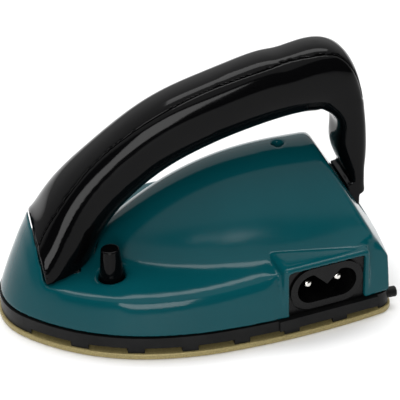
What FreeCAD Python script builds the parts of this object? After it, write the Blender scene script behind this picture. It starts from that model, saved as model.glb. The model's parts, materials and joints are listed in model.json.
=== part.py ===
import FreeCAD, Part
import math
import os

# Compact travel iron, millimetres, +Z up.
# While a piece is drawn, x runs from the nose tip (0) to the heel, y = 0 is the middle
# plane and z = 0 is the face that irons.  export() then moves x = half length to the origin.

# ---- driving dimensions -------------------------------------------------------------
LENGTH = 103.4
NOSE_RADIUS, NOSE_SWEEP = 20.4, 39.8          # plan outline: four tangent arcs a side
FLANK_RADIUS, FLANK_SWEEP = 57.1, 37.5
WAIST_RADIUS, WAIST_SWEEP = 79.2, 13.8
TAIL_RADIUS = 186.0
CORNER_RADIUS = 5.0
HEEL_RADIUS = 200.0

SOLE_THICK = 1.7
BASE_BOTTOM, BASE_TOP = SOLE_THICK, 6.2
SHELL_BOTTOM = 6.5
WALL = 1.8
GAP = 0.3                                     # play between the handle and the shell

SEAM_X, SEAM_LEAN = 13.0, 6.3                 # nose cap's flat back at z = 5, degrees
CREST_Z, CREST_X = 40.4, 86.0                 # highest point of the hump
SLOPE_X, SLOPE_RUN = 87.0, 0.625              # rear slope: x at crest height, run per mm down
SCREW_X = 77.7

HINGE_X, HINGE_Z = 96.8, 16.5
HINGE_PIN_RADIUS, KNUCKLE_RADIUS = 1.0, 2.7
TONGUE_HALF_WIDTH, TONGUE_HALF_THICK = 7.3, 1.9
OPEN_ANGLE = 25.0                             # how far the handle lifts, degrees

BUTTON_X, BUTTON_Y = 29.1, -15.0
BUTTON_TOP = 24.4

INLET_X, INLET_Y, INLET_Z = 71.9, -32.2, 6.8  # lower front corner of the inlet window
INLET_WIDTH, INLET_HEIGHT = 21.7, 12.7
INLET_TURN = 9.3                              # the inlet face turns towards the heel, degrees
PIN_PITCH, PIN_DIAMETER = 8.6, 2.4


def vec(x, y, z):
    return FreeCAD.Vector(x, y, z)


Y_AXIS, Z_AXIS = vec(0, 1, 0), vec(0, 0, 1)


def export(node, shapes):
    shapes = shapes if isinstance(shapes, list) else [shapes]
    solids = [solid for shape in shapes for solid in shape.Solids]
    moved = Part.makeCompound(solids) if len(solids) > 1 else solids[0].copy()
    moved.translate(vec(-LENGTH / 2, 0, 0))
    moved.exportStep("parts/" + node + ".step")
    box = moved.BoundBox
    print("%-22s %2d solid(s) %9.1f mm3  x %.1f %.1f  y %.1f %.1f  z %.1f %.1f %s" % (
        node, len(solids), sum(s.Volume for s in solids), box.XMin, box.XMax, box.YMin,
        box.YMax, box.ZMin, box.ZMax, "" if moved.isValid() else "INVALID"))


# ---- plan outline -------------------------------------------------------------------
def outline_arcs(length, corner_radius=CORNER_RADIUS):
    """Centre, radius and first and last polar angle of each arc on the +y side."""
    arcs = []
    x, y, heading = 0.0, 0.0, 90.0
    for radius, sweep in ((NOSE_RADIUS, NOSE_SWEEP), (FLANK_RADIUS, FLANK_SWEEP),
                          (WAIST_RADIUS, WAIST_SWEEP), (TAIL_RADIUS, None)):
        turn = math.radians(heading)
        centre = (x + radius * math.sin(turn), y - radius * math.cos(turn))
        if sweep is None:
            break
        arcs.append((centre, radius, heading + 90.0, heading - sweep + 90.0))
        heading -= sweep
        turn = math.radians(heading)
        x, y = centre[0] - radius * math.sin(turn), centre[1] + radius * math.cos(turn)
    # the corner circle touches the tail arc and the heel arc from inside
    tail, heel = centre, (length - HEEL_RADIUS, 0.0)
    r_tail, r_heel = TAIL_RADIUS - corner_radius, HEEL_RADIUS - corner_radius
    span = math.dist(tail, heel)
    along = (r_tail ** 2 - r_heel ** 2 + span ** 2) / (2 * span)
    across = math.sqrt(r_tail ** 2 - along ** 2)
    ux, uy = (heel[0] - tail[0]) / span, (heel[1] - tail[1]) / span
    corner = (tail[0] + along * ux - across * uy, tail[1] + along * uy + across * ux)
    if corner[0] < heel[0]:
        corner = (tail[0] + along * ux + across * uy, tail[1] + along * uy - across * ux)
    to_side = math.degrees(math.atan2(corner[1] - tail[1], corner[0] - tail[0]))
    to_heel = math.degrees(math.atan2(corner[1] - heel[1], corner[0] - heel[0]))
    arcs.append((tail, TAIL_RADIUS, heading + 90.0, to_side))
    arcs.append((corner, corner_radius, to_side, to_heel))
    arcs.append((heel, HEEL_RADIUS, to_heel, 0.0))
    return arcs


def outline(inset, z, shift=0.0, length=LENGTH, corner_radius=CORNER_RADIUS):
    """The sole's outline drawn inset all round, as one closed wire at height z."""
    edges = []
    arcs = outline_arcs(length, corner_radius)
    for number, (centre, radius, start, end) in enumerate(arcs):
        for side in (1, -1):
            middle = vec(centre[0] + shift, side * centre[1], z)
            circle = Part.Circle(middle, Z_AXIS, radius - inset)
            if number in (0, len(arcs) - 1):
                if side == 1:
                    low, high = (end, 360 - end) if number == 0 else (-start, start)
                    edges.append(Part.Arc(circle, math.radians(low), math.radians(high)))
            elif side == 1:
                edges.append(Part.Arc(circle, math.radians(end), math.radians(start)))
            else:
                edges.append(Part.Arc(circle, math.radians(-start), math.radians(-end)))
    return Part.Wire(Part.__sortEdges__([edge.toShape() for edge in edges]))


def plate(inset, z_low, z_high):
    corner = max(CORNER_RADIUS, inset + 2.0)
    return Part.Face(outline(inset, z_low, 0, LENGTH, corner)).extrude(vec(0, 0, z_high - z_low))


def half_width(x):
    """Half width of the sole at x, from the same arcs."""
    for (cx, cy), radius, start, end in outline_arcs(LENGTH + 20):
        low = cx + radius * math.cos(math.radians(start))
        high = cx + radius * math.cos(math.radians(end))
        if low <= x <= high:
            return cy + math.sqrt(radius ** 2 - (x - cx) ** 2)
    return 0.1


# ---- outside form of the shell ------------------------------------------------------
def dome(wall):
    """The outline drawn in and back as it rises; the nose cap keeps this form."""
    wires = []
    for z in (SHELL_BOTTOM - 1.0, 8.5, 12.0, 16.6, 21.8, 26.9, 34.0, 43.0):
        rise = max(z - SHELL_BOTTOM, 0) / 20.4
        inset = 0.6 + 5.6 * rise ** 1.3 + wall
        wires.append(outline(inset, z, 0.3 + 2.9 * rise, LENGTH + 12, 20))
    return Part.makeLoft(wires, True, False)


LEDGE_HALF = 32.0


def ledge_height(x, y):
    return 14.1 + 0.075 * (x - 12.0) + 2.3 * (1 - (y / LEDGE_HALF) ** 2)


def hump_height(x, y):
    crest = CREST_Z - 16.6 * (max(CREST_X - x, 0) / 53.0) ** 2.5
    return crest - y ** 2 / (2 * (9.0 + 0.11 * (x - 33.0)))


def top_height(x, y):
    low, high, blend = ledge_height(x, y), hump_height(x, y), 3.0
    return (low + high + math.sqrt((low - high) ** 2 + blend ** 2)) / 2 - blend ** 2 / 40


def below(height, drop=0.0):
    """Everything under the surface z = height(x, y) - drop."""
    rows = []
    for x in range(8, 117, 4):
        rows.append([vec(x, y, height(min(x, LENGTH), y) - drop) for y in range(-42, 43, 3)])
    surface = Part.BSplineSurface()
    surface.interpolate(rows)
    return surface.toShape().extrude(vec(0, 0, -70))


def seam_x(z):
    return SEAM_X - (z - 5.0) * math.tan(math.radians(SEAM_LEAN))


def side_bar(points, half=45.0):
    """A flat (x, z) polygon made into a bar across the iron."""
    corners = [vec(x, -half, z) for x, z in points]
    return Part.Face(Part.makePolygon(corners + corners[:1])).extrude(vec(0, 2 * half, 0))


def ahead_of_seam(offset=0.0):
    low, high = -10.0, 60.0
    return side_bar([(-20, low), (seam_x(low) - offset, low),
                     (seam_x(high) - offset, high), (-20, high)])


def behind_heel(wall):
    """Room behind the bowed heel wall and behind the bowed rear slope."""
    pieces = []
    half = 45.0
    bow = HEEL_RADIUS - math.sqrt(HEEL_RADIUS ** 2 - half ** 2)
    for lean, x_at, z_at in ((0.03, LENGTH - 0.9, SHELL_BOTTOM), (SLOPE_RUN, SLOPE_X, CREST_Z)):
        x_base = x_at + lean * z_at - wall * math.sqrt(1 + lean ** 2)
        arc = Part.Arc(vec(x_base - bow, -half, 0), vec(x_base, 0, 0), vec(x_base - bow, half, 0))
        rim = [vec(x_base - bow, half, 0), vec(x_base + 90, half, 0),
               vec(x_base + 90, -half, 0), vec(x_base - bow, -half, 0)]
        face = Part.Face(Part.Wire([arc.toShape()] + Part.makePolygon(rim).Edges))
        pieces.append(face.extrude(vec(-lean * 70, 0, 70)))
    return pieces[0].fuse(pieces[1])


def shell_form(wall):
    """The shell's outside, or with a wall thickness the space inside it."""
    form = dome(wall)
    cap = form.common(ahead_of_seam(wall))
    body = form.common(below(top_height, wall * 1.05))
    return cap.fuse(body).cut(behind_heel(wall)).cut(grip_room(wall))


# ---- handle form --------------------------------------------------------------------
# centre x, centre z, direction of the grip in degrees, half width, half height, squareness
GRIP_SECTIONS = [(6.0, 10.6, 4.0, 15.6, 14.9, 2.4),
                 (13.0, 13.9, 8.0, 15.6, 13.8, 2.4),
                 (19.8, 23.6, 20.0, 12.6, 11.6, 2.4),
                 (28.35, 35.2, 29.0, 9.6, 8.85, 2.4),
                 (40.2, 44.65, 28.0, 8.6, 8.55, 2.4),
                 (55.3, 51.95, 20.5, 8.4, 8.85, 2.4),
                 (66.5, 55.4, 16.5, 8.4, 8.85, 2.4),
                 (76.5, 57.7, 10.0, 8.4, 8.95, 2.4),
                 (85.6, 58.9, 2.0, 8.3, 9.3, 2.5),
                 (90.1, 58.5, -17.0, 8.1, 9.2, 2.6),
                 (92.3, 56.6, -36.0, 7.9, 7.9, 2.8),
                 (95.4, 50.9, -62.6, 7.6, 5.0, 3.4),
                 (97.1, 43.0, -87.0, 7.4, 3.8, 4.0),
                 (97.5, 34.0, -90.0, 7.3, 3.3, 4.5),
                 (97.5, 24.5, -90.0, 7.3, 3.2, 4.5)]


def grip_section(section, grow):
    cx, cz, heading, half_wide, half_high, power = section
    turn = math.radians(heading)
    points = []
    for i in range(32):
        t = 2 * math.pi * i / 32
        c, s = math.cos(t), math.sin(t)
        across = math.copysign(abs(c) ** (2 / power), c) * (half_wide + grow)
        up = math.copysign(abs(s) ** (2 / power), s) * (half_high + grow)
        points.append(vec(cx - up * math.sin(turn), across, cz + up * math.cos(turn)))
    curve = Part.BSplineCurve()
    curve.interpolate(points, PeriodicFlag=True)
    return Part.Wire(curve.toShape())


def grip_loft(grow=0.0, first=0, last=None):
    sections = GRIP_SECTIONS[first:last]
    return Part.makeLoft([grip_section(s, grow) for s in sections], True, False)


def grip_room(wall):
    """Space the handle needs in the front of the hump, above the ledge."""
    room = grip_loft(GAP + 0.15 + wall, 0, 6)
    return room.cut(below(ledge_height, wall * 1.05)).cut(ahead_of_seam(0))


# ---- small shapes -------------------------------------------------------------------
def rod(radius, start, end):
    direction = end.sub(start)
    return Part.makeCylinder(radius, direction.Length, start, direction)


def tube(outer, inner, start, end):
    return rod(outer, start, end).cut(rod(inner, start, end))


def upright(radius, x, y, z_low, z_high):
    return rod(radius, vec(x, y, z_low), vec(x, y, z_high))


def block(x0, x1, y0, y1, z0, z1):
    return Part.makeBox(x1 - x0, y1 - y0, z1 - z0, vec(x0, y0, z0))


def merge(shapes):
    shape = shapes[0]
    for other in shapes[1:]:
        shape = shape.fuse(other)
    return shape.removeSplitter()


def pan_screw(x, y, z_low, z_head, shank=1.5, head=2.8, head_height=1.6):
    """Cross-head screw standing upright, its head's underside at z_head."""
    top = z_head + head_height
    screw = upright(shank, x, y, z_low, z_head).fuse(upright(head, x, y, z_head, top))
    for turn in (0, 90):
        slot = block(-head * 0.6, head * 0.6, -0.3, 0.3, top - 0.7, top + 1)
        slot.rotate(vec(0, 0, 0), Z_AXIS, turn)
        slot.translate(vec(x, y, 0))
        screw = screw.cut(slot)
    return screw


# ---- sole, heater and base ----------------------------------------------------------
CLAMP_PLACES = [(20.0, 0.0), (60.0, 22.0), (60.0, -22.0), (90.0, 18.0), (90.0, -18.0)]
MICA_INSET, MICA_LOW, MICA_THICK = 9.0, 2.4, 0.4
RIBBON_THICK = 0.4
CLAMP_INSET, CLAMP_THICK = 7.0, 1.0
WEB_LOW = 4.9
TAB_FIRST, TAB_PITCH, TAB_WIDTH, TAB_COUNT = 18.3, 13.55, 4.1, 7
NOTCH_HEIGHT = 1.5
SWITCH_PLACE = (46.0, 9.0)
FUSE_PLACE = (46.0, -10.0)


def clamp_low():
    return MICA_LOW + 2 * MICA_THICK + RIBBON_THICK


def clamp_screws():
    top = clamp_low() + CLAMP_THICK
    return [pan_screw(x, y, 0.6, top, 1.25, 2.3, 1.1) for x, y in CLAMP_PLACES]


def base_screws():
    return [pan_screw(x, y, 0.6, BASE_TOP, 1.25, 2.4, 1.3) for x, y in BASE_PLACES]


POST_RADIUS, POST_SPLIT = 3.2, 20.0           # post under the crest: base below, shell above
CREST_SHANK = 1.2
BASE_PLACES = [(7.5, 0.0), (36.0, 25.0), (36.0, -25.0), (95.0, 16.0), (95.0, -16.0)]


def soleplate():
    sole = plate(0, 0, SOLE_THICK)
    bottom = [e for e in sole.Edges if e.BoundBox.ZMax < 0.01]
    top = [e for e in sole.Edges if e.BoundBox.ZMin > SOLE_THICK - 0.01]
    sole = sole.makeFillet(0.5, bottom)
    top = [e for e in sole.Edges if e.BoundBox.ZMin > SOLE_THICK - 0.01]
    sole = sole.makeFillet(0.3, top)
    sole = sole.fuse(plate(5.0, SOLE_THICK - 0.5, MICA_LOW))
    for x, y in BASE_PLACES:
        sole = sole.fuse(upright(2.6, x, y, SOLE_THICK - 0.5, WEB_LOW))
    return sole.removeSplitter()


def drill(shape, tools):
    for tool in tools:
        shape = shape.cut(tool)
    return shape


def mica_sheets():
    sheets = []
    for z in (MICA_LOW, MICA_LOW + MICA_THICK + RIBBON_THICK):
        sheet = plate(MICA_INSET, z, z + MICA_THICK)
        holes = [upright(1.6, x, y, z - 1, z + 1) for x, y in CLAMP_PLACES]
        holes += [upright(3.0, x, y, z - 1, z + 1) for x, y in BASE_PLACES]
        sheets.append(drill(sheet, holes))
    return sheets


def heating_ribbon():
    """One flat band laid to and fro across the mica."""
    z, width, passes = MICA_LOW + MICA_THICK, 2.4, 10
    first, pitch = 27.0, 6.4
    half = [min(half_width(first + pitch * i) - 13.5, 16.0) for i in range(passes)]
    pieces = []
    for i in range(passes):
        x = first + pitch * i
        pieces.append(block(x, x + width, -half[i], half[i], z, z + RIBBON_THICK))
        if i:
            side = 1 if i % 2 else -1
            reach = min(half[i], half[i - 1])
            y0, y1 = sorted((side * reach, side * (reach - width)))
            pieces.append(block(x - pitch, x + width, y0, y1, z, z + RIBBON_THICK))
    return merge(pieces)


def clamp_plate():
    z = clamp_low()
    shape = plate(CLAMP_INSET, z, z + CLAMP_THICK)
    for x, y in BASE_PLACES:
        shape = shape.cut(upright(3.4, x, y, z - 1, z + 3))
    return shape


def base_ring():
    """Heat-proof base: a rim with a row of feet, and a web across it."""
    shape = plate(0.6, BASE_BOTTOM, BASE_TOP).cut(plate(2.8, BASE_BOTTOM - 1, WEB_LOW))
    for i in range(-1, TAB_COUNT - 1):
        x0 = TAB_FIRST + TAB_PITCH * i + TAB_WIDTH / 2
        x1 = x0 + TAB_PITCH - TAB_WIDTH
        x0 = max(x0, 7.0)
        shape = shape.cut(block(x0, x1, -40, 40, BASE_BOTTOM - 1, BASE_BOTTOM + NOTCH_HEIGHT))
    sill = inlet_block(-3.0, 25.4, -0.7, 3.0, BASE_BOTTOM + NOTCH_HEIGHT, BASE_TOP)
    shape = shape.fuse(sill)
    for x, y in (SWITCH_PLACE, FUSE_PLACE):
        shape = shape.cut(upright(8.0, x, y, 0, 10))
    shape = shape.cut(upright(3.0, 74.0, 8.0, 0, 10))
    for x, y in CLAMP_PLACES:
        shape = shape.cut(upright(2.8, x, y, 0, 10))
    shape = shape.fuse(upright(POST_RADIUS, SCREW_X, 0, BASE_TOP - 0.5, POST_SPLIT))
    return shape.cut(upright(CREST_SHANK, SCREW_X, 0, 8.0, POST_SPLIT + 1)).removeSplitter()


# ---- mains inlet --------------------------------------------------------------------
def turn_to_inlet(shape):
    shape.rotate(vec(0, 0, 0), Z_AXIS, INLET_TURN)
    shape.translate(vec(INLET_X, INLET_Y, 0))
    return shape


def inlet_block(along0, along1, deep0, deep1, z0, z1):
    """A box in the inlet's own directions: along its face, then inwards."""
    return turn_to_inlet(block(along0, along1, deep0, deep1, z0, z1))


def inlet_slot(radius, depth0, depth1):
    """A flat-sided oval along the inlet's face."""
    cx, cz = INLET_WIDTH / 2, INLET_Z + INLET_HEIGHT / 2
    half = PIN_PITCH / 2
    oval = merge([rod(radius, vec(cx - half, depth0, cz), vec(cx - half, depth1, cz)),
                  rod(radius, vec(cx + half, depth0, cz), vec(cx + half, depth1, cz)),
                  block(cx - half, cx + half, depth0, depth1, cz - radius, cz + radius)])
    return turn_to_inlet(oval)


def inlet_bezel():
    frame = 1.5
    top = INLET_Z + INLET_HEIGHT + frame
    bezel = inlet_block(-frame, INLET_WIDTH + frame, 0, 11.0, SHELL_BOTTOM, top)
    front = [e for e in bezel.Edges if bezel_edge(e, top)]
    return bezel.makeFillet(0.7, front)


def bezel_edge(edge, top):
    """Edges round the bezel's open face, and its two long top corners."""
    middle = edge.BoundBox.Center
    along = math.radians(INLET_TURN)
    depth = -(middle.x - INLET_X) * math.sin(along) + (middle.y - INLET_Y) * math.cos(along)
    return middle.z > SHELL_BOTTOM + 1 and (depth < 0.1 or (middle.z > top - 0.1 and depth < 8))


def inlet_window():
    return inlet_block(0, INLET_WIDTH, -5, 16, SHELL_BOTTOM - 2, INLET_Z + INLET_HEIGHT)


SOCKET_FACE, SOCKET_BACK, SOCKET_FLOOR = 1.0, 15.6, 13.6
PIN_TIP = 2.5


def inlet_socket():
    play = 0.12
    body = inlet_block(play, INLET_WIDTH - play, SOCKET_FACE, SOCKET_BACK, BASE_TOP + 0.1,
                       INLET_Z + INLET_HEIGHT - play)
    rim = inlet_slot(6.0, SOCKET_FACE - 0.55, SOCKET_FACE + 0.5)
    hollow = inlet_slot(4.1, -2, SOCKET_FLOOR)
    cx, top = INLET_WIDTH / 2, INLET_Z + INLET_HEIGHT / 2 + 4.1
    key = [(cx - 4.0, top + 0.2), (cx + 4.0, top + 0.2), (cx, top - 3.6)]
    corners = [vec(x, -2, z) for x, z in key]
    wedge = Part.Face(Part.makePolygon(corners + corners[:1])).extrude(vec(0, SOCKET_FLOOR + 2, 0))
    groove = inlet_slot(6.5, SOCKET_FACE - 0.1, SOCKET_FACE + 0.35).cut(inlet_slot(6.0, -2, 5))
    body = body.cut(groove).fuse(rim).cut(hollow.cut(turn_to_inlet(wedge)))
    return drill(body, inlet_pins()).removeSplitter()


def inlet_pins():
    pins = []
    cz = INLET_Z + INLET_HEIGHT / 2
    for side in (-1, 1):
        cx = INLET_WIDTH / 2 + side * PIN_PITCH / 2
        pin = rod(PIN_DIAMETER / 2, vec(cx, PIN_TIP, cz), vec(cx, SOCKET_BACK + 0.6, cz))
        tip = [e for e in pin.Edges if abs(e.BoundBox.Center.y - PIN_TIP) < 0.05]
        pin = pin.makeFillet(1.0, tip)
        tag = block(cx - 1.6, cx + 1.6, SOCKET_BACK + 0.6, SOCKET_BACK + 6.0, cz - 0.3, cz + 0.3)
        pins.append(turn_to_inlet(pin.fuse(tag)))
    return pins


# ---- switch, fuse and leads ---------------------------------------------------------
def plate_top():
    return clamp_low() + CLAMP_THICK


def thermostat_parts():
    x, y = SWITCH_PLACE
    z = plate_top()
    cup = upright(6.5, x, y, z + 0.6, z + 2.4)
    body = upright(5.4, x, y, z + 2.4, z + 6.2)
    tags = [block(x + side * 3.6 - 0.4, x + side * 3.6 + 0.4, y - 1.6, y + 1.6, z + 6.2, z + 9.0)
            for side in (-1, 1)]
    flange = tube(7.4, 5.45, vec(x, y, z), vec(x, y, z + 0.6)).fuse(upright(5.6, x, y, z, z + 0.3))
    return cup, body, tags, flange


def thermal_fuse():
    x, y = FUSE_PLACE
    z = plate_top() + 1.9
    return rod(1.8, vec(x - 5.0, y, z), vec(x + 5.0, y, z))


def fuse_sleeve():
    x, y = FUSE_PLACE
    z = plate_top() + 1.9
    return tube(1.9 + 0.3, 1.8, vec(x - 7.0, y, z), vec(x + 7.0, y, z)).cut(
        block(x - 9, x + 9, y - 3, y + 3, z - 3, plate_top()))


def lead(points, radius=0.8):
    """An insulated wire: straight runs with a ball at each turn."""
    runs = [rod(radius, a, b) for a, b in zip(points, points[1:])]
    balls = [Part.makeSphere(radius, p) for p in points[1:-1]]
    return merge(runs + balls)


def inlet_point(along, deep, z):
    turn = math.radians(INLET_TURN)
    return vec(INLET_X + along * math.cos(turn) - deep * math.sin(turn),
               INLET_Y + along * math.sin(turn) + deep * math.cos(turn), z)


def leads():
    cz = INLET_Z + INLET_HEIGHT / 2
    sx, sy = SWITCH_PLACE
    fx, fy = FUSE_PLACE
    z_tag = plate_top() + 9.9
    z_fuse = plate_top() + 1.9
    left = inlet_point(INLET_WIDTH / 2 - PIN_PITCH / 2, SOCKET_BACK + 6.8, cz)
    right = inlet_point(INLET_WIDTH / 2 + PIN_PITCH / 2, SOCKET_BACK + 6.8, cz)
    z_run = 15.0
    live = lead([left, vec(left.x - 3, left.y + 3, z_run), vec(62, -2, z_run),
                 vec(fx + 11, fy + 1, z_fuse + 2), vec(fx + 7.1, fy, z_fuse)])
    link = lead([vec(fx - 7.1, fy, z_fuse), vec(fx - 9.5, fy + 2, z_fuse + 3),
                 vec(fx - 9.5, sy - 5, z_tag), vec(sx - 3.6, sy, z_tag)])
    feed = lead([vec(sx + 3.6, sy, z_tag), vec(sx + 10, sy + 1, z_tag),
                 vec(sx + 16, sy + 1, 9.5), vec(72, 8, 9.5), vec(74, 8, 8.0), vec(74, 8, 4.7)])
    back = lead([right, vec(right.x + 1, right.y + 6, z_run), vec(83.5, 7, 12), vec(77, 10, 9),
                 vec(76, 10.5, 7.2)])
    return [live, link, feed, back]


# ---- hinge --------------------------------------------------------------------------
PIN_HALF_LENGTH = 11.5
POCKET_HALF = 12.5
BUSH_LENGTH = 3.0


def across(radius, y0, y1, x=HINGE_X, z=HINGE_Z):
    return rod(radius, vec(x, y0, z), vec(x, y1, z))


def tongue_room(play=0.4):
    """What the tongue sweeps as the handle opens, with play all round."""
    half = TONGUE_HALF_THICK + play
    y = TONGUE_HALF_WIDTH + play
    rooms = [across(KNUCKLE_RADIUS + play, -y, y)]
    for angle in (0, OPEN_ANGLE / 2, OPEN_ANGLE + 1):
        room = block(-half, half, -y, y, 0, 24)
        room.rotate(vec(0, 0, 0), Y_AXIS, angle)
        room.translate(vec(HINGE_X, 0, HINGE_Z))
        rooms.append(room)
    return merge(rooms)


def hinge_pin():
    return across(HINGE_PIN_RADIUS, -PIN_HALF_LENGTH, PIN_HALF_LENGTH)


def hinge_bushes():
    bushes = []
    for side in (-1, 1):
        y0, y1 = sorted((side * TONGUE_HALF_WIDTH, side * (TONGUE_HALF_WIDTH - BUSH_LENGTH)))
        bushes.append(across(HINGE_PIN_RADIUS + 0.75, y0, y1).cut(
            across(HINGE_PIN_RADIUS + 0.05, y0 - 1, y1 + 1)))
    return bushes


# ---- handle pieces ------------------------------------------------------------------
STEP_Z = 25.2                                 # the leg steps in to a tongue here
CATCH_X, CATCH_HALF_Y, CATCH_BOTTOM = 20.0, 3.0, 9.2
COVER_SHARE = 0.80                            # part of the half height below the cover
SCREW_SECTIONS = (4, 6)                        # grip sections with a screw up into the cover


def tongue():
    arm = block(-TONGUE_HALF_THICK, TONGUE_HALF_THICK, -TONGUE_HALF_WIDTH, TONGUE_HALF_WIDTH,
                0, STEP_Z + 3.5 - HINGE_Z)
    arm.translate(vec(HINGE_X, 0, HINGE_Z))
    knuckle = across(KNUCKLE_RADIUS, -TONGUE_HALF_WIDTH, TONGUE_HALF_WIDTH)
    shape = arm.fuse(knuckle)
    for bush_side in (-1, 1):
        y0, y1 = sorted((bush_side * (TONGUE_HALF_WIDTH + 1),
                         bush_side * (TONGUE_HALF_WIDTH - BUSH_LENGTH)))
        shape = shape.cut(across(HINGE_PIN_RADIUS + 0.75, y0, y1))
    return shape.cut(across(HINGE_PIN_RADIUS + 0.3, -20, 20))


def cover_room(grow=0.0):
    """Everything above a line that follows the grip a little under its top."""
    line = []
    for cx, cz, heading, _, half_high, _ in GRIP_SECTIONS[1:12]:
        turn = math.radians(heading)
        up = half_high * COVER_SHARE - grow
        line.append(vec(cx - up * math.sin(turn), -20, cz + up * math.cos(turn)))
    curve = Part.BSplineCurve()
    curve.interpolate(line)
    first, last = line[0], line[-1]
    rim = [last, vec(125, -20, last.z), vec(125, -20, 95), vec(-20, -20, 95),
           vec(-20, -20, first.z), first]
    face = Part.Face(Part.Wire([curve.toShape()] + Part.makePolygon(rim).Edges))
    return face.extrude(vec(0, 40, 0))


def handle_whole():
    grip = grip_loft().cut(ahead_of_seam(-GAP)).cut(below(ledge_height, -GAP))
    return grip.cut(block(80, 120, -20, 20, 0, STEP_Z))


def handle_hollow(wall=2.0):
    """The space inside the grip from behind the foot to the rear bend."""
    return grip_loft(-wall, 2, 11)


def along_section(number, radius, low, high):
    """Rod square to the grip at one section, between two heights from its middle."""
    cx, cz, heading = GRIP_SECTIONS[number][:3]
    turn = math.radians(heading)
    ends = [vec(cx - up * math.sin(turn), 0, cz + up * math.cos(turn)) for up in (low, high)]
    return rod(radius, ends[0], ends[1])


def handle_screws():
    screws = []
    for number in SCREW_SECTIONS:
        under = GRIP_SECTIONS[number][4]
        head = along_section(number, 2.0, -under + 0.8, -under + 2.1)
        screws.append(head.fuse(along_section(number, 1.1, -under + 2.1, under - 0.8)).cut(
            along_section(number, 0.7, -under, -under + 1.6)))
    return screws


def screw_posts():
    return [along_section(n, 2.9, -GRIP_SECTIONS[n][4] + 1.0, GRIP_SECTIONS[n][4] - 1.0)
            for n in SCREW_SECTIONS]


def screw_recesses():
    return [along_section(n, 2.2, -GRIP_SECTIONS[n][4] - 2, -GRIP_SECTIONS[n][4] + 2.1)
            for n in SCREW_SECTIONS]


def catch_plate():
    """Hooked tab under the handle's foot that the bolt holds."""
    tab = block(CATCH_X - 1.2, CATCH_X + 1.2, BUTTON_Y + 4.0, BUTTON_Y + 4.0 + 2 * CATCH_HALF_Y,
                CATCH_BOTTOM, 22.0)
    window = block(CATCH_X - 2, CATCH_X + 2, BUTTON_Y + 5.2, BUTTON_Y + 2.8 + 2 * CATCH_HALF_Y,
                   CATCH_BOTTOM + 1.2, CATCH_BOTTOM + 3.2)
    return tab.cut(window)


# ---- button and bolt ----------------------------------------------------------------
LEDGE_Z = 16.9
KNOB_BASE_RADIUS, KNOB_TOP_RADIUS = 3.2, 2.4
STEM_RADIUS, STEM_BOTTOM = 1.3, 9.4
SKIRT_BOTTOM = 14.2
BOSS_BOTTOM = 13.2
CLIP_LOW, CLIP_THICK, CLIP_RADIUS = 12.3, 0.7, 4.5
BOLT_LOW, BOLT_HIGH = BASE_TOP + 0.1, 7.5
GUIDE_LOW, GUIDE_HIGH = BOLT_HIGH + 0.2, BOLT_HIGH + 1.0
SPRING_RADIUS, SPRING_WIRE, SPRING_TURNS = 3.3, 0.2, 2.5


def release_button():
    x, y = BUTTON_X, BUTTON_Y
    cone = Part.makeCone(KNOB_BASE_RADIUS, KNOB_TOP_RADIUS, BUTTON_TOP - LEDGE_Z, vec(x, y, LEDGE_Z))
    rim = [e for e in cone.Edges if e.BoundBox.ZMin > BUTTON_TOP - 0.01]
    cone = cone.makeFillet(0.45, rim)
    skirt = upright(KNOB_BASE_RADIUS, x, y, SKIRT_BOTTOM, LEDGE_Z)
    stem = upright(STEM_RADIUS, x, y, STEM_BOTTOM + 1.0, SKIRT_BOTTOM)
    point = Part.makeCone(0.5, STEM_RADIUS, 1.0, vec(x, y, STEM_BOTTOM))
    return merge([cone, skirt, stem, point]).cut(button_clip())


def button_clip():
    x, y = BUTTON_X, BUTTON_Y
    top = CLIP_LOW + CLIP_THICK
    return tube(CLIP_RADIUS, STEM_RADIUS - 0.3, vec(x, y, CLIP_LOW), vec(x, y, top))


def button_spring():
    """Round wire coiled between the guide's bridge and the clip."""
    low, high = GUIDE_HIGH + SPRING_WIRE + 0.02, CLIP_LOW - SPRING_WIRE - 0.02
    helix = Part.makeHelix((high - low) / SPRING_TURNS, high - low, SPRING_RADIUS)
    ring = Part.Wire(Part.makeCircle(SPRING_WIRE, vec(SPRING_RADIUS, 0, 0), Y_AXIS))
    coil = Part.Wire(helix).makePipeShell([ring], True, True)
    coil.translate(vec(BUTTON_X, BUTTON_Y, low))
    return coil


def latch_bolt():
    """Flat slide with a slot round the button's stem and a nose at the catch."""
    x, y = BUTTON_X, BUTTON_Y
    z0, z1 = BOLT_LOW, BOLT_HIGH
    runner = block(CATCH_X + 2.4, x + 8.5, y - 2.6, y + 2.6, z0, z1)
    slot = block(x - 4.4, x + 1.9, y - 1.6, y + 1.6, z0 - 1, z1 + 1)
    reach = block(CATCH_X + 2.4, CATCH_X + 5.4, y - 2.6, y + 8.6, z0, z1)
    post = block(CATCH_X + 2.4, CATCH_X + 5.4, y + 5.4, y + 8.6, z0, CATCH_BOTTOM + 3.0)
    nose = block(CATCH_X + 1.5, CATCH_X + 3.4, y + 5.4, y + 8.6, CATCH_BOTTOM + 1.4,
                 CATCH_BOTTOM + 3.0)
    return merge([runner.cut(slot), reach, post, nose])


def latch_guide():
    """Bridge on two rails: the bolt slides under it and the spring stands on it."""
    x, y = BUTTON_X, BUTTON_Y
    rails = []
    for side in (-1, 1):
        y0, y1 = sorted((y + side * 2.8, y + side * 4.4))
        rails.append(block(x - 1.7, x + 4.6, y0, y1, BASE_TOP, GUIDE_LOW))
    bridge = block(x - 4.6, x + 4.6, y - 4.4, y + 4.4, GUIDE_LOW, GUIDE_HIGH)
    return merge(rails + [bridge]).cut(upright(STEM_RADIUS + 0.3, x, y, 5, 12))


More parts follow.
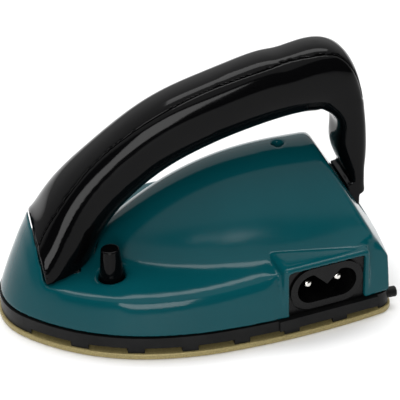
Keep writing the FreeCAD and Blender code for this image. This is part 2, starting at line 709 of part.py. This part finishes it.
# ---- shell --------------------------------------------------------------------------
def upper_shell():
    outside = shell_form(0.0)
    slope_edge = [e for e in outside.Edges if e.Length > 60 and e.BoundBox.XMin > 80]
    outside = outside.makeFillet(1.5, slope_edge)
    inside = shell_form(WALL)
    bezel = inlet_bezel()
    floor = block(-20, 130, -60, 60, -10, SHELL_BOTTOM)
    pocket = block(HINGE_X - 5.2, LENGTH + 2, -POCKET_HALF, POCKET_HALF, SHELL_BOTTOM, 40)
    post = upright(POST_RADIUS, SCREW_X, 0, POST_SPLIT + 0.1, 60)
    boss = upright(5.0, BUTTON_X, BUTTON_Y, BOSS_BOTTOM, 40)
    solid_parts = merge([pocket, post, boss]).common(outside)
    shell = outside.cut(inside).fuse(bezel).fuse(solid_parts)
    tools = [floor, inlet_window(), tongue_room(), hinge_pin(),
             upright(KNOB_BASE_RADIUS + 0.3, BUTTON_X, BUTTON_Y, 5, 40),
             upright(1.7, SCREW_X, 0, CREST_Z - 4.0, CREST_Z + 5),
             upright(CREST_SHANK, SCREW_X, 0, POST_SPLIT, CREST_Z + 5),
             block(CATCH_X - 2.0, CATCH_X + 1.7, BUTTON_Y + 3.4, BUTTON_Y + 4.6 + 2 * CATCH_HALF_Y,
                   5, 18)]
    shell = drill(shell, tools).removeSplitter()
    return max(shell.Solids, key=lambda solid: solid.Volume)


def crest_screw():
    """Long screw down the post in the hump; its head sits in a recess."""
    return pan_screw(SCREW_X, 0, 10.0, CREST_Z - 4.0, CREST_SHANK, 1.6, 1.4)


def heel_pegs():
    pegs = []
    for side in (-1, 1):
        start, end = vec(LENGTH - 3.4, side * 24.6, 4.2), vec(LENGTH, side * 24.6, 4.2)
        peg = rod(1.45, start, end)
        tip = [e for e in peg.Edges if e.BoundBox.XMin > LENGTH - 0.05]
        pegs.append(peg.makeFillet(0.5, tip))
    return pegs


def main():
    os.makedirs("parts", exist_ok=True)
    screws, studs, pegs = clamp_screws(), base_screws(), heel_pegs()
    export("soleplate", drill(soleplate(), screws + studs))
    export("mica_sheets", mica_sheets())
    passages = [upright(2.0, x, y, 0, 9) for x, y in CLAMP_PLACES]
    export("heating_ribbon", drill(heating_ribbon(), passages))
    export("clamp_plate", drill(clamp_plate(), screws))
    export("clamp_screws", screws)
    export("base_ring", drill(base_ring(), studs + pegs))
    export("base_screws", studs)
    export("heel_pegs", pegs)

    cup, body, tags, flange = thermostat_parts()
    export("thermostat_body", body.fuse(cup).removeSplitter())
    export("thermostat_flange", flange)
    export("thermostat_tags", tags)
    export("thermal_fuse", thermal_fuse())
    export("fuse_sleeve", fuse_sleeve())
    export("leads", leads())

    export("upper_shell", upper_shell())
    export("crest_screw", crest_screw())
    export("inlet_socket", inlet_socket())
    export("inlet_pins", inlet_pins())
    export("hinge_pin", hinge_pin())

    whole = handle_whole()
    hollow = handle_hollow()
    room = cover_room()
    screws = handle_screws()
    hollow = drill(hollow, screw_posts())
    cover = drill(whole.common(room), [hollow] + screws)
    lower = whole.cut(room).fuse(tongue())
    catch = catch_plate()
    lower = drill(lower, [hollow, catch] + screw_recesses() + screws).removeSplitter()
    export("handle_cover", cover)
    export("handle_body", lower)
    export("handle_screws", screws)
    export("catch_plate", catch)
    export("hinge_bushes", hinge_bushes())

    export("release_button", release_button())
    export("button_clip", button_clip())
    export("button_spring", button_spring())
    export("latch_bolt", latch_bolt())
    export("latch_guide", latch_guide())


main()
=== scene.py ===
import json
import math
import bpy
import numpy as np
from mathutils import Matrix, Vector
from mathutils.kdtree import KDTree

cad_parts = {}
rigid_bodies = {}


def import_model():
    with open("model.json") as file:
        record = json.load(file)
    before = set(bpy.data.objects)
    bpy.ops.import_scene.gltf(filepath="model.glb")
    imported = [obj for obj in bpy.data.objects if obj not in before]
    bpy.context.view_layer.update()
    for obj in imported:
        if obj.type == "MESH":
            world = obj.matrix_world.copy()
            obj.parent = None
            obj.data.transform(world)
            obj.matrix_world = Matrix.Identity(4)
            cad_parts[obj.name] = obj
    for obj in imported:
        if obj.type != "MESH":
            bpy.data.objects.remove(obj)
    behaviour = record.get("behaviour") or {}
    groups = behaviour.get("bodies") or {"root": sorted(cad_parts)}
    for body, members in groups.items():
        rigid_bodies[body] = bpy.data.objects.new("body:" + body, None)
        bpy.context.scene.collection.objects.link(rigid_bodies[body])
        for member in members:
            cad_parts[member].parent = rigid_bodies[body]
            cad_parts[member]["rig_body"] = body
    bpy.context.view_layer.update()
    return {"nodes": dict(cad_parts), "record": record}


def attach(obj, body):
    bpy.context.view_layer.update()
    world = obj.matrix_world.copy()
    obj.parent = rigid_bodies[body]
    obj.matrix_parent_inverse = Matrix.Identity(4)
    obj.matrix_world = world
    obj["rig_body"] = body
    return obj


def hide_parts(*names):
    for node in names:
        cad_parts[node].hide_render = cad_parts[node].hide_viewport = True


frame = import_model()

nodes = frame["nodes"]

# ---- materials ----------------------------------------------------------------------


class Shade:
    """A material built from nodes, with short helpers for the usual ones."""

    def __init__(self, name):
        self.material = bpy.data.materials.new(name)
        self.material.use_nodes = True
        self.tree = self.material.node_tree
        self.shader = self.tree.nodes["Principled BSDF"]
        self.place = self.tree.nodes.new("ShaderNodeTexCoord").outputs["Object"]

    def put(self, **values):
        """Constant values, set on the shader's own sockets."""
        for key, value in values.items():
            self.shader.inputs[key.replace("_", " ")].default_value = value

    def link(self, a, b):
        self.tree.links.new(a, b)

    def noise(self, scale, detail=4.0, roughness=0.55, stretch=None):
        node = self.tree.nodes.new("ShaderNodeTexNoise")
        node.inputs["Scale"].default_value = scale
        node.inputs["Detail"].default_value = detail
        node.inputs["Roughness"].default_value = roughness
        source = self.place
        if stretch:
            mapping = self.tree.nodes.new("ShaderNodeMapping")
            mapping.inputs["Scale"].default_value = stretch
            self.link(source, mapping.inputs["Vector"])
            source = mapping.outputs["Vector"]
        self.link(source, node.inputs["Vector"])
        return node.outputs["Fac"]

    def ramp(self, source, stops):
        """Colours by the value of the source, from a list of (value, colour)."""
        node = self.tree.nodes.new("ShaderNodeValToRGB")
        band = node.color_ramp
        while len(band.elements) < len(stops):
            band.elements.new(0.5)
        for element, (at, colour) in zip(band.elements, stops):
            element.position = at
            element.color = tuple(colour) + (1.0,)
        self.link(source, node.inputs["Fac"])
        return node.outputs["Color"]

    def span(self, source, low, high, first=0.3, last=0.7):
        """The source's values from first to last, spread from low to high."""
        node = self.tree.nodes.new("ShaderNodeMapRange")
        node.inputs["From Min"].default_value = first
        node.inputs["From Max"].default_value = last
        node.inputs["To Min"].default_value = low
        node.inputs["To Max"].default_value = high
        self.link(source, node.inputs["Value"])
        return node.outputs["Result"]

    def bump(self, source, strength, distance):
        node = self.tree.nodes.new("ShaderNodeBump")
        node.inputs["Strength"].default_value = strength
        node.inputs["Distance"].default_value = distance
        self.link(source, node.inputs["Height"])
        self.link(node.outputs["Normal"], self.shader.inputs["Normal"])


def plastic(name, dark, light, rough, grain, depth, mottle=60.0, gloss=0.3):
    """Moulded plastic: slight mottle in the colour, fine grain in gloss and surface."""
    s = Shade(name)
    cloud = s.noise(mottle, 5.0)
    s.link(s.ramp(cloud, [(0.32, dark), (0.68, light)]), s.shader.inputs["Base Color"])
    fine = s.noise(grain, 3.0)
    s.link(s.span(fine, rough * 0.85, rough * 1.2), s.shader.inputs["Roughness"])
    s.bump(fine, 0.25, depth)
    s.put(IOR=1.5, Specular_IOR_Level=gloss)
    return s.material


def metal(name, dark, light, rough, grain, depth, stretch=(1.0, 1.0, 1.0)):
    """Bare metal: one noise gives its stains, its gloss and its fine marks."""
    s = Shade(name)
    cloud = s.noise(grain, 4.0, 0.6, stretch)
    s.link(s.ramp(cloud, [(0.3, dark), (0.7, light)]), s.shader.inputs["Base Color"])
    s.link(s.span(cloud, rough * 0.8, rough * 1.3), s.shader.inputs["Roughness"])
    s.bump(cloud, 0.2, depth)
    s.put(Metallic=1.0)
    return s.material


def gold_coat():
    """Fine speckled non-stick enamel."""
    s = Shade("gold_coat")
    fleck = s.noise(2600.0, 2.0)
    s.link(s.ramp(fleck, [(0.3, (0.23, 0.185, 0.075)), (0.7, (0.36, 0.295, 0.125))]),
           s.shader.inputs["Base Color"])
    s.link(s.span(fleck, 0.33, 0.5), s.shader.inputs["Roughness"])
    s.bump(fleck, 0.3, 0.00003)
    s.put(Metallic=0.3, IOR=1.5)
    return s.material


SLOTS = {
    "teal": plastic("teal_plastic", (0.0008, 0.050, 0.061), (0.0012, 0.057, 0.069),
                    rough=0.13, grain=1500.0, depth=0.000010, mottle=35.0, gloss=0.18),
    "handle": plastic("black_gloss", (0.0008, 0.0008, 0.0011), (0.0018, 0.0018, 0.002),
                      rough=0.09, grain=1800.0, depth=0.000006, mottle=40.0, gloss=0.11),
    "base": plastic("base_plastic", (0.0035, 0.0037, 0.0038), (0.007, 0.007, 0.007),
                    rough=0.40, grain=2200.0, depth=0.00003, mottle=250.0, gloss=0.12),
    "inlet": plastic("inlet_plastic", (0.0015, 0.0015, 0.0018), (0.003, 0.003, 0.003),
                     rough=0.30, grain=2500.0, depth=0.00002, mottle=300.0, gloss=0.15),
    "mica": plastic("mica_flake", (0.42, 0.34, 0.22), (0.62, 0.54, 0.38),
                    rough=0.35, grain=900.0, depth=0.00003, mottle=400.0),
    "sleeve": plastic("glass_sleeve", (0.6, 0.58, 0.52), (0.8, 0.78, 0.72),
                      rough=0.7, grain=3000.0, depth=0.0001, mottle=900.0),
    "lead": plastic("silicone_lead", (0.55, 0.55, 0.53), (0.68, 0.68, 0.66),
                    rough=0.45, grain=1500.0, depth=0.00002, mottle=200.0),
    "gold": gold_coat(),
    "bright": metal("bright_steel", (0.42, 0.42, 0.43), (0.62, 0.62, 0.62),
                    rough=0.28, grain=900.0, depth=0.00001, stretch=(1.0, 1.0, 6.0)),
    "brass": metal("brass", (0.60, 0.43, 0.17), (0.78, 0.60, 0.28),
                   rough=0.28, grain=700.0, depth=0.00001),
    "pins": metal("nickel", (0.62, 0.60, 0.56), (0.80, 0.78, 0.74),
                  rough=0.14, grain=600.0, depth=0.000005),
}

slot_of = {part["node"]: part["material_slot"] for part in frame["record"]["subparts"]}
for node, slot in slot_of.items():
    nodes[node].data.materials.clear()
    nodes[node].data.materials.append(SLOTS[slot])

# ---- moulded pieces with eased edges ------------------------------------------------

VOXEL = 0.0004                              # mesh size of the moulded copies
CRISP_ANGLE = 22.0                          # degrees: a sharper turn between faces is an edge
LAST_ROUNDS = 3                             # rounds of evening that reach the crisp edges too

INLET_CORNER = (0.0202, -0.0322)            # lower front corner of the mains inlet, x and y
INLET_TURN = math.radians(9.3)              # the inlet's face turns towards the heel
INLET_FRAME_START, INLET_FRAME_END = -0.0025, 0.0245
INLET_FRAME_DEPTH = 0.013

RIM_START, RIM_END = -0.0375, 0.0475        # the shell's rim along the iron,
RIM_INSIDE = 0.0125                         # its least distance from the middle plane
RIM_LOW, RIM_HIGH = 0.0142, 0.0248          # and its heights


def sharp_points(mesh):
    """Points along the edges where two faces of a closed mesh meet at an angle."""
    verts = np.empty(len(mesh.vertices) * 3)
    mesh.vertices.foreach_get("co", verts)
    verts = verts.reshape(-1, 3)
    _, first, merged = np.unique(np.round(verts, 7), axis=0, return_index=True,
                                 return_inverse=True)
    merged = first[merged.reshape(-1)]
    sides = {}
    for face in mesh.polygons:
        ring = [merged[i] for i in face.vertices]
        for a, b in zip(ring, ring[1:] + ring[:1]):
            sides.setdefault((min(a, b), max(a, b)), []).append(face.normal)
    limit = math.cos(math.radians(CRISP_ANGLE))
    points = []
    for (a, b), normals in sides.items():
        if len(normals) == 2 and normals[0].length and normals[1].length:
            if normals[0].dot(normals[1]) < limit:
                start, end = verts[a], verts[b]
                count = max(1, int(np.linalg.norm(end - start) / VOXEL))
                points += [start + (end - start) * k / count for k in range(count + 1)]
    return points


def evened(co, edges, degree, weight, rounds):
    """Moves each point towards the middle of its neighbours, weight by weight."""
    count = len(co)
    for _ in range(rounds):
        for axis in range(3):
            total = (np.bincount(edges[:, 0], co[edges[:, 1], axis], count)
                     + np.bincount(edges[:, 1], co[edges[:, 0], axis], count))
            co[:, axis] += 0.5 * weight * (total / degree - co[:, axis])
    return co


def moulded(node, name, rounds, keep, far, near=0.0006):
    """A finer copy of a CAD piece, with its broad surfaces evened and its kept edges crisp.

    Evening starts at the distance near from a kept edge and is in full from the distance far.
    """
    source = nodes[node]
    work = bpy.data.objects.new(name, source.data.copy())
    bpy.context.scene.collection.objects.link(work)
    remesh = work.modifiers.new("even_mesh", "REMESH")
    remesh.mode, remesh.voxel_size = "VOXEL", VOXEL
    graph = bpy.context.evaluated_depsgraph_get()
    mesh = bpy.data.meshes.new_from_object(work.evaluated_get(graph))
    work.modifiers.clear()
    work.data = mesh
    co = np.empty(len(mesh.vertices) * 3)
    mesh.vertices.foreach_get("co", co)
    co = co.reshape(-1, 3)
    edges = np.empty(len(mesh.edges) * 2, int)
    mesh.edges.foreach_get("vertices", edges)
    edges = edges.reshape(-1, 2)
    degree = np.bincount(edges.ravel(), minlength=len(co)).astype(float)
    crisp = [p for p in sharp_points(source.data) if keep(*p)]
    tree = KDTree(len(crisp))
    for index, point in enumerate(crisp):
        tree.insert(point, index)
    tree.balance()
    away = np.array([tree.find(p)[2] for p in co])
    weight = np.clip((away - near) / (far - near), 0.0, 1.0)
    co = evened(co, edges, degree, weight ** 2 * (3 - 2 * weight), rounds)
    co = evened(co, edges, degree, np.ones(len(co)), LAST_ROUNDS)
    mesh.vertices.foreach_set("co", co.ravel())
    mesh.polygons.foreach_set("use_smooth", [True] * len(mesh.polygons))
    mesh.update()
    mesh.materials.clear()
    mesh.materials.append(SLOTS[slot_of[node]])
    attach(work, source["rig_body"])
    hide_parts(node)


def at_inlet(x, y):
    """In the moulded frame round the mains inlet."""
    dx, dy = x - INLET_CORNER[0], y - INLET_CORNER[1]
    along = dx * math.cos(INLET_TURN) + dy * math.sin(INLET_TURN)
    deep = -dx * math.sin(INLET_TURN) + dy * math.cos(INLET_TURN)
    return INLET_FRAME_START < along < INLET_FRAME_END and deep < INLET_FRAME_DEPTH


def shell_edge_kept(x, y, z):
    """All the shell's edges but the rim between its ledge and its side."""
    at_rim = abs(y) > RIM_INSIDE and RIM_LOW < z < RIM_HIGH and RIM_START < x < RIM_END
    return not at_rim or at_inlet(x, y)


def all_edges_kept(x, y, z):
    return True


moulded("upper_shell", "shell_moulding", rounds=110, keep=shell_edge_kept, far=0.0045)
moulded("handle_body", "handle_moulding", rounds=40, keep=all_edges_kept, far=0.0035)
moulded("handle_cover", "handle_cover_moulding", rounds=40, keep=all_edges_kept, far=0.0035)

# ---- floor, light and camera --------------------------------------------------------

FLOOR_HALF = 4.0
FLOOR_LEVEL = -0.00005                      # a hair under the sole

CAMERA_PLACE = (-0.0629, -0.3172, 0.2132)
CAMERA_AZIMUTH, CAMERA_ELEVATION, CAMERA_ROLL = (math.radians(v) for v in (-12.0, 30.0, 2.0))
LENS, SENSOR_WIDTH = 126.0, 36.0            # millimetres
CLIP_START = 0.01

LAMP_AIM = (0.0, 0.0, 0.03)                 # the middle of the iron

ROOM_LIGHT = 1.25
# Brightness of the room by the sine of the direction's elevation, on each side of the iron.
NEAR_LIGHT = [(0.0, 0.03), (0.66, 0.04), (0.71, 0.75), (1.0, 0.85)]
FAR_LIGHT = [(0.0, 0.3), (0.3, 0.6), (0.6, 0.85), (1.0, 0.85)]
SIDE_BLEND = 0.15                           # half width of the step between the two sides


def floor():
    """A wide sheet of pale paper."""
    mesh = bpy.data.meshes.new("floor")
    corners = [(x * FLOOR_HALF, y * FLOOR_HALF, FLOOR_LEVEL)
               for x, y in ((-1, -1), (1, -1), (1, 1), (-1, 1))]
    mesh.from_pydata(corners, [], [(0, 1, 2, 3)])
    obj = bpy.data.objects.new("floor", mesh)
    bpy.context.scene.collection.objects.link(obj)
    s = Shade("floor_paper")
    s.link(s.ramp(s.noise(3.0), [(0.3, (0.93, 0.93, 0.93)), (0.7, (0.95, 0.95, 0.95))]),
           s.shader.inputs["Base Color"])
    s.put(Roughness=0.6)
    mesh.materials.append(s.material)


def lamp(name, place, width, height, power):
    """A rectangular softbox that faces the iron."""
    data = bpy.data.lights.new(name, "AREA")
    data.shape = "RECTANGLE"
    data.size, data.size_y = width, height
    data.energy = power
    obj = bpy.data.objects.new(name, data)
    bpy.context.scene.collection.objects.link(obj)
    obj.location = place
    obj.rotation_mode = "QUATERNION"
    obj.rotation_quaternion = (Vector(LAMP_AIM) - Vector(place)).to_track_quat("-Z", "Y")


def camera():
    """The photograph's viewpoint."""
    flat = math.cos(CAMERA_ELEVATION)
    back = Vector((math.sin(CAMERA_AZIMUTH) * flat, -math.cos(CAMERA_AZIMUTH) * flat,
                   math.sin(CAMERA_ELEVATION)))
    right = Vector((math.cos(CAMERA_AZIMUTH), math.sin(CAMERA_AZIMUTH), 0.0))
    up = back.cross(right)
    turned_right = right * math.cos(CAMERA_ROLL) - up * math.sin(CAMERA_ROLL)
    turned_up = right * math.sin(CAMERA_ROLL) + up * math.cos(CAMERA_ROLL)
    data = bpy.data.cameras.new("camera")
    data.lens, data.sensor_width = LENS, SENSOR_WIDTH
    data.clip_start = CLIP_START
    obj = bpy.data.objects.new("camera", data)
    bpy.context.scene.collection.objects.link(obj)
    axes = Matrix((turned_right, turned_up, back)).transposed().to_4x4()
    obj.matrix_world = Matrix.Translation(CAMERA_PLACE) @ axes
    bpy.context.scene.camera = obj


def surroundings():
    """A studio room: light ceiling, a far side that dims downwards, a dark camera side."""
    world = bpy.data.worlds.new("studio")
    bpy.context.scene.world = world
    world.use_nodes = True
    tree = world.node_tree
    shade = tree.nodes["Background"]
    place = tree.nodes.new("ShaderNodeTexCoord").outputs["Generated"]
    split = tree.nodes.new("ShaderNodeSeparateXYZ")
    tree.links.new(place, split.inputs["Vector"])

    def ramp(source, low, high, stops):
        """Greys by the source's place between low and high."""
        spread = tree.nodes.new("ShaderNodeMapRange")
        spread.inputs["From Min"].default_value = low
        spread.inputs["From Max"].default_value = high
        tree.links.new(source, spread.inputs["Value"])
        node = tree.nodes.new("ShaderNodeValToRGB")
        band = node.color_ramp
        while len(band.elements) < len(stops):
            band.elements.new(0.5)
        for element, (at, value) in zip(band.elements, stops):
            element.position = at
            element.color = (value, value, value, 1.0)
        tree.links.new(spread.outputs["Result"], node.inputs["Fac"])
        return node.outputs["Color"]

    near_side = ramp(split.outputs["Z"], 0.0, 1.0, NEAR_LIGHT)
    far_side = ramp(split.outputs["Z"], 0.0, 1.0, FAR_LIGHT)
    which = ramp(split.outputs["Y"], -SIDE_BLEND, SIDE_BLEND, [(0.0, 0.0), (1.0, 1.0)])
    mix = tree.nodes.new("ShaderNodeMix")
    mix.data_type = "RGBA"
    tree.links.new(which, mix.inputs["Factor"])
    tree.links.new(near_side, mix.inputs["A"])
    tree.links.new(far_side, mix.inputs["B"])
    tree.links.new(mix.outputs["Result"], shade.inputs["Color"])
    shade.inputs["Strength"].default_value = ROOM_LIGHT


floor()
camera()
surroundings()
lamp("overhead_strip", (0.05, 0.25, 0.92), width=0.9, height=0.3, power=4.5)
lamp("left_softbox", (-0.30, -0.90, 0.45), width=0.5, height=0.5, power=6.0)
bpy.context.scene.view_settings.view_transform = "Standard"
